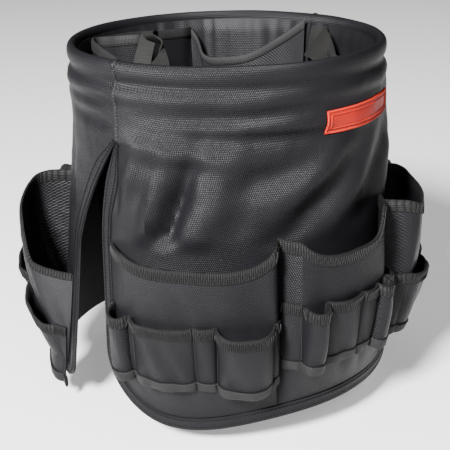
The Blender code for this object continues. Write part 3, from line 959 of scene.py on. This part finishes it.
class ORGANIZER_OT_sleeves(bpy.types.Operator):
    """Builds the strips of open tool sleeves across the pockets, bound above and below"""

    bl_idname = "organizer.sleeves"
    bl_label = "Tool sleeves"

    # Extra stops across a sleeve, close together where it rises.
    stops = (0.0, 0.02, 0.05, 0.09, 0.15, 0.22, 0.78, 0.85, 0.91, 0.95, 0.98, 1.0)
    deepest = 0.018

    def execute(self, context):
        sizes = context.scene.organizer_sizes
        for column in COLUMNS:
            flap = column.flap
            base = f"{flap.name}_sleeves_{column.number}"

            # The mouth and foot of a full sleeve lie lower than those of a flat one.
            def height(u, v):
                bow = column.sleeve_rise(u, SLEEVE_TOP + column.shift(u)) / self.deepest
                top = SLEEVE_TOP + 0.0045 - 0.0045 * bow
                low = SLEEVE_BOTTOM + 0.0040 - 0.0030 * bow
                low += 0.0015 * waviness(u, 0.0, 0.17, column.seed + 9)
                return mix(low, top, v) + column.shift(u)

            def face(u, v):
                z = height(u, v)
                return column.on_flap(u, z, column.stand_off(u, z))

            def place(u, v):
                z = height(u, v)
                lift = sizes.sheet + GAP + column.sleeve_rise(u, z)
                return face(u, v) + surface_normal(face, u, v) * (sizes.sheet + GAP) \
                    + (column.on_flap(u, z, lift) - column.on_flap(u, z, sizes.sheet + GAP))

            middle = half_in(place, sizes.sheet)
            us = sorted(set(spread(0.022, 0.978, 60) + [
                mix(low, high, share) for low, high, depth in column.sleeves
                for share in self.stops]))
            us = [a for a, b in zip(us, us[1:] + [2.0]) if b - a > 0.002]
            long = column.width() * 1.45
            strip = cloth(f"{base}_strip", us, spread(0.0, 1.0, 22), place, sizes.sheet,
                          FINISHES["weave"], (long, SLEEVE_CLOTH))
            reach = TAPE_WIDTH / SLEEVE_CLOTH
            top = hug(f"{base}_top_tape", us, middle, 1, reach, FINISHES["tape"], long)
            low = hug(f"{base}_bottom_tape", us, middle, 0, reach * 0.95, FINISHES["hem_tape"], long)
            zig = zigzag(place, middle, (0.024, 0.976), round(long / sizes.zigzag), reach)
            seam = thread(f"{base}_top_zigzag", [zig], FINISHES["tape_thread"], ZIGZAG_THREAD)
            line = [middle(u, reach * 0.85) + surface_normal(place, u, reach * 0.85) * THREAD_STAND
                    for u in us]
            rows = dashes(line, sizes.stitch)
            for start, end, depth in column.sleeves:
                for u in (start - 0.008, end + 0.008):
                    u = min(0.976, max(0.024, u))
                    line = [place(u, v) + surface_normal(place, u, v) * (sizes.sheet + 0.0003)
                            for v in spread(0.16, 0.84, 24)]
                    rows += dashes(line, sizes.stitch)
            stitches = thread(f"{base}_stitches", rows, FINISHES["tape_thread"], STRAIGHT_THREAD)
            skirt = f"{flap.name}_skirt"
            for piece in (seam, stitches):
                declare(piece, skirt, [])
            declare(top, skirt, [f"{base}_top_binding"])
            declare(low, skirt, [f"{base}_bottom_binding"])
            declare(strip, skirt, [base], flat=(round(long, 3), SLEEVE_CLOTH))
        return {"FINISHED"}


def lining_wall(z):
    """Radius of the lining where it hangs flat; it leans in towards its hem."""
    return 0.1452 + 0.053 * z


def lining_radius(angle, z):
    """Inner face of the lining, gathered into small pleats just under the rim."""
    turn = math.radians(angle)
    round_x, round_y = math.cos(turn), math.sin(turn)
    pleats = waviness(round_x, round_y, 0.075, 2.2) + 0.5 * waviness(round_x, round_y, 0.036, 7.9)
    near_rim = smooth((z + 0.016) / 0.016)
    gathered = 0.0024 * pleats * math.exp(z / 0.05) * (1 - 0.6 * near_rim)
    return lining_wall(z) + 0.0028 * near_rim + gathered


# Mouths of the inner pockets: (angle, radius, height) from one end to the other.
INNER_POCKETS = (
    ((146.5, 0.1405, -0.0110), (144.0, 0.1330, -0.0220), (141.5, 0.1270, -0.0400),
     (134.0, 0.1240, -0.0440), (118.0, 0.1240, -0.0395), (101.0, 0.1280, -0.0180),
     (91.5, 0.1400, 0.0000)),
    ((208.0, 0.1410, -0.0040), (196.0, 0.1330, -0.0045), (180.0, 0.1280, -0.0060),
     (164.0, 0.1280, -0.0090), (152.0, 0.1320, -0.0100), (147.2, 0.1400, -0.0105)),
    ((263.0, 0.1400, -0.0120), (248.0, 0.1220, -0.0140), (238.0, 0.1140, -0.0110),
     (222.0, 0.1290, -0.0040), (209.0, 0.1400, -0.0020), (202.0, 0.1250, -0.0030),
     (193.0, 0.1020, -0.0030), (189.0, 0.1230, -0.0100), (187.0, 0.1390, -0.0120)),
    ((358.4, 0.1400, -0.0120), (340.0, 0.1240, -0.0280), (317.0, 0.1220, -0.0300),
     (296.0, 0.1240, -0.0260), (276.5, 0.1400, -0.0120)),
    ((443.5, 0.1400, -0.0120), (424.0, 0.1240, -0.0260), (402.0, 0.1220, -0.0300),
     (380.0, 0.1240, -0.0280), (361.6, 0.1400, -0.0120)),
)
INNER_BOTTOM = -0.1900


def through(points, t):
    """A point at t from 0 to 1 of the smooth curve through the given points."""
    last = len(points) - 1
    at = t * last
    i = min(last - 1, int(at))
    share = at - i
    a, b = points[i], points[i + 1]
    before, after = points[max(0, i - 1)], points[min(last, i + 2)]
    t2, t3 = share * share, share ** 3
    return [(2 * t3 - 3 * t2 + 1) * a[k] + (t3 - 2 * t2 + share) * (b[k] - before[k]) / 2
            + (3 * t2 - 2 * t3) * b[k] + (t3 - t2) * (after[k] - a[k]) / 2 for k in range(len(a))]


class ORGANIZER_OT_lining(bpy.types.Operator):
    """Builds the lining and its pockets"""

    bl_idname = "organizer.lining"
    bl_label = "Lining and inner pockets"

    width = 0.455
    tape_width = 0.0085

    def execute(self, context):
        sizes = context.scene.organizer_sizes
        for side, middle_angle in (("front", 0.0), ("rear", 180.0)):
            def wall(angle, z):
                return polar(angle, lining_radius(angle, z), z)

            angles = spread(middle_angle - SEAM_ANGLE, middle_angle + SEAM_ANGLE, 150)
            lining = cloth(f"{side}_lining", angles, spread(-0.2150, -0.0030, 50), wall, sizes.sheet,
                           FINISHES["lining"], (self.width, LINING_CLOTH))
            hem = [wall(a, -0.2060) - polar(a, 0.0004, 0.0) for a in angles]
            seam = thread(f"{side}_lining_stitches", dashes(hem, sizes.stitch),
                          FINISHES["dark_thread"], STRAIGHT_THREAD)
            declare(seam, "collar", [])
            declare(lining, "collar", [f"{side}_liner"], flat=(self.width, LINING_CLOTH))

        for number, mouth in enumerate(INNER_POCKETS, 1):
            base = f"inner_pocket_{number}"
            start, end = mouth[0][0], mouth[-1][0]

            def place(u, v):
                angle, radius, top = through(mouth, u)
                z = mix(INNER_BOTTOM, top, v)
                wall = lining_wall(z) - 0.0016
                out = (0.1436 + 0.053 * top - radius) * (1 - (1 - v) ** 2.2)
                sway = 1 + 0.16 * waviness(u, z * 5, 0.25, number * 3.7) * v * (1 - v) * 4
                return polar(mix(mix(start, end, u), angle, v), wall - out * sway, z)

            middle = half_in(place, sizes.sheet)
            width = length_along(place, 1.0, 40)
            us = spread(0.0, 1.0, 84)
            body = cloth(f"{base}_cloth", us, spread(0.0, 1.0, 36), place, sizes.sheet,
                         FINISHES["lining"], (width, INNER_CLOTH))
            reach = self.tape_width / INNER_CLOTH
            tape = hug(f"{base}_mouth_tape", us, middle, 1, reach, FINISHES["hem_tape"], width)
            line = [middle(u, 1 - reach * 0.84) + surface_normal(place, u, 0.9) * THREAD_STAND
                    for u in spread(0.01, 0.99, 120)]
            seam = thread(f"{base}_mouth_stitches", dashes(line, sizes.stitch),
                          FINISHES["dark_thread"], MOUTH_THREAD)
            declare(seam, "collar", [])
            declare(tape, "collar", [f"{base}_binding"])
            declare(body, "collar", [base], flat=(round(width, 3), INNER_CLOTH))
        return {"FINISHED"}


class ORGANIZER_OT_straps(bpy.types.Operator):
    """Builds the two webbing straps that hang inside"""

    bl_idname = "organizer.straps"
    bl_label = "Webbing straps"

    width = 0.020
    thickness = 0.0015
    # Both edges of each strap, (angle, radius, height) of one edge and then of the other.
    edges = {
        "left": ((-94.0, 0.1425, -0.0190, -86.0, 0.1425, -0.0190),
                 (-95.0, 0.1260, -0.0110, -85.5, 0.1260, -0.0110),
                 (-98.0, 0.0990, -0.0100, -85.5, 0.0930, -0.0100),
                 (-107.0, 0.0790, -0.0050, -108.0, 0.0700, -0.0030),
                 (-122.0, 0.0660, 0.0030, -140.0, 0.0640, -0.0040),
                 (-140.0, 0.0730, 0.0070, -151.0, 0.0850, 0.0020),
                 (-153.0, 0.0720, 0.0050, -158.0, 0.0920, 0.0030),
                 (-146.0, 0.0740, -0.0080, -150.0, 0.0930, -0.0100),
                 (-132.0, 0.0780, -0.0260, -138.0, 0.0960, -0.0280),
                 (-118.0, 0.0840, -0.0460, -127.0, 0.0980, -0.0480)),
        "right": ((87.5, 0.1410, -0.0060, 78.5, 0.1410, -0.0050),
                  (88.0, 0.1380, -0.0180, 78.0, 0.1390, -0.0140),
                  (88.6, 0.1370, -0.0350, 80.0, 0.1370, -0.0280),
                  (89.0, 0.1330, -0.0370, 77.0, 0.1330, -0.0080),
                  (87.0, 0.1280, -0.0370, 72.5, 0.1280, -0.0040),
                  (81.0, 0.1260, -0.0400, 66.0, 0.1280, -0.0220),
                  (76.0, 0.1250, -0.0560, 62.0, 0.1270, -0.0440)),
    }

    def execute(self, context):
        for side, stations in self.edges.items():
            def place(t, v):
                found = through(stations, t)
                return polar(*found[:3]).lerp(polar(*found[3:]), v)

            length = length_along(place, 0.5, 60)
            strap = cloth(f"{side}_strap_webbing", spread(0.0, 1.0, 110), spread(0.0, 1.0, 10), place,
                          self.thickness, FINISHES["webbing"], (length, self.width))
            declare(strap, f"{side}_webbing", [f"{side}_strap"],
                    flat=(round(length * 1.2, 3), self.width))
        return {"FINISHED"}


class ORGANIZER_OT_stage(bpy.types.Operator):
    """Builds the floor, the lights and the camera"""

    bl_idname = "organizer.stage"
    bl_label = "Stage"

    # Soft lights: name, place, width in metres, power in watts.
    lights = (
        ("Key", (-2.25, -0.60, 1.55), 0.6, 880.0),
        ("Front", (-1.30, -2.10, 1.90), 0.9, 45.0),
        ("Top", (0.2, 0.6, 2.6), 2.0, 25.0),
    )
    aim = (0.0, 0.0, -0.15)

    def execute(self, context):
        sizes = context.scene.organizer_sizes
        bm = bmesh.new()
        bmesh.ops.create_grid(bm, x_segments=2, y_segments=2, size=40.0)
        bmesh.ops.translate(bm, verts=bm.verts[:], vec=(0.0, 0.0, -sizes.floor_drop))
        mesh = bpy.data.meshes.new("floor")
        bm.to_mesh(mesh)
        bm.free()
        floor = link("floor", mesh,
                     floor_finish("Studio floor", context.scene.organizer_colours.floor, 0.35))

        world = bpy.data.worlds.new("Studio")
        world.use_nodes = True
        sky = world.node_tree.nodes["Background"]
        sky.inputs["Color"].default_value = (1.0, 1.0, 1.0, 1.0)
        sky.inputs["Strength"].default_value = 0.06
        context.scene.world = world

        for name, place, size, power in self.lights:
            light = bpy.data.lights.new(name, "AREA")
            light.shape = "DISK"
            light.size = size
            light.energy = power
            lamp = bpy.data.objects.new(name, light)
            aim = Vector(self.aim) - Vector(place)
            lamp.matrix_world = (Matrix.Translation(place)
                                 @ aim.to_track_quat("-Z", "Y").to_matrix().to_4x4())
            context.scene.collection.objects.link(lamp)

        # The camera stands at that heading round the bucket, looks in and down, and leans a little.
        heading = math.radians(-50.0)
        distance, height = 1.0056, 0.1836
        pitch, yaw, roll = 0.3641, -0.005, -0.0193
        lens = bpy.data.cameras.new("Camera")
        lens.lens = 80.0
        lens.sensor_width = 36.0
        eye = Vector((distance * math.sin(heading), -distance * math.cos(heading), height))
        ahead = -heading + yaw
        forward = Vector((math.sin(ahead) * math.cos(pitch), math.cos(ahead) * math.cos(pitch),
                          -math.sin(pitch)))
        right = forward.cross(Vector((0.0, 0.0, 1.0))).normalized()
        up = right.cross(forward)
        tilted = right * math.cos(roll) + up * math.sin(roll)
        upright = tilted.cross(forward)
        camera = bpy.data.objects.new("Camera", lens)
        turn = Matrix((tilted, upright, -forward)).transposed().to_4x4()
        camera.matrix_world = Matrix.Translation(eye) @ turn
        context.scene.collection.objects.link(camera)
        context.scene.camera = camera
        return {"FINISHED"}


class ORGANIZER_PT_panel(bpy.types.Panel):
    """Lists the organizer's pieces"""

    bl_idname = "ORGANIZER_PT_panel"
    bl_label = "Bucket tool organizer"
    bl_space_type = "VIEW_3D"
    bl_region_type = "UI"
    bl_category = "Organizer"

    def draw(self, context):
        for group in (context.scene.organizer_sizes, context.scene.organizer_colours):
            for key in group.__annotations__:
                self.layout.prop(group, key)
        for operator in OPERATORS:
            self.layout.operator(operator.bl_idname)


OPERATORS = (
    ORGANIZER_OT_rim,
    ORGANIZER_OT_outer_cloth,
    ORGANIZER_OT_seams,
    ORGANIZER_OT_label,
    ORGANIZER_OT_pockets,
    ORGANIZER_OT_sleeves,
    ORGANIZER_OT_lining,
    ORGANIZER_OT_straps,
    ORGANIZER_OT_stage,
)
CLASSES = (OrganizerColours, OrganizerSizes, *OPERATORS, ORGANIZER_PT_panel)


def register():
    for made in CLASSES:
        bpy.utils.register_class(made)
    bpy.types.Scene.organizer_sizes = PointerProperty(type=OrganizerSizes)
    bpy.types.Scene.organizer_colours = PointerProperty(type=OrganizerColours)


def unregister():
    del bpy.types.Scene.organizer_sizes
    del bpy.types.Scene.organizer_colours
    for made in reversed(CLASSES):
        bpy.utils.unregister_class(made)


def main():
    """Builds every piece in order."""
    register()
    make_finishes(bpy.context.scene.organizer_colours)
    bpy.ops.organizer.rim()
    bpy.ops.organizer.outer_cloth()
    bpy.ops.organizer.seams()
    bpy.ops.organizer.label()
    bpy.ops.organizer.pockets()
    bpy.ops.organizer.sleeves()
    bpy.ops.organizer.lining()
    bpy.ops.organizer.straps()
    bpy.ops.organizer.stage()


if __name__ == "__main__":
    main()
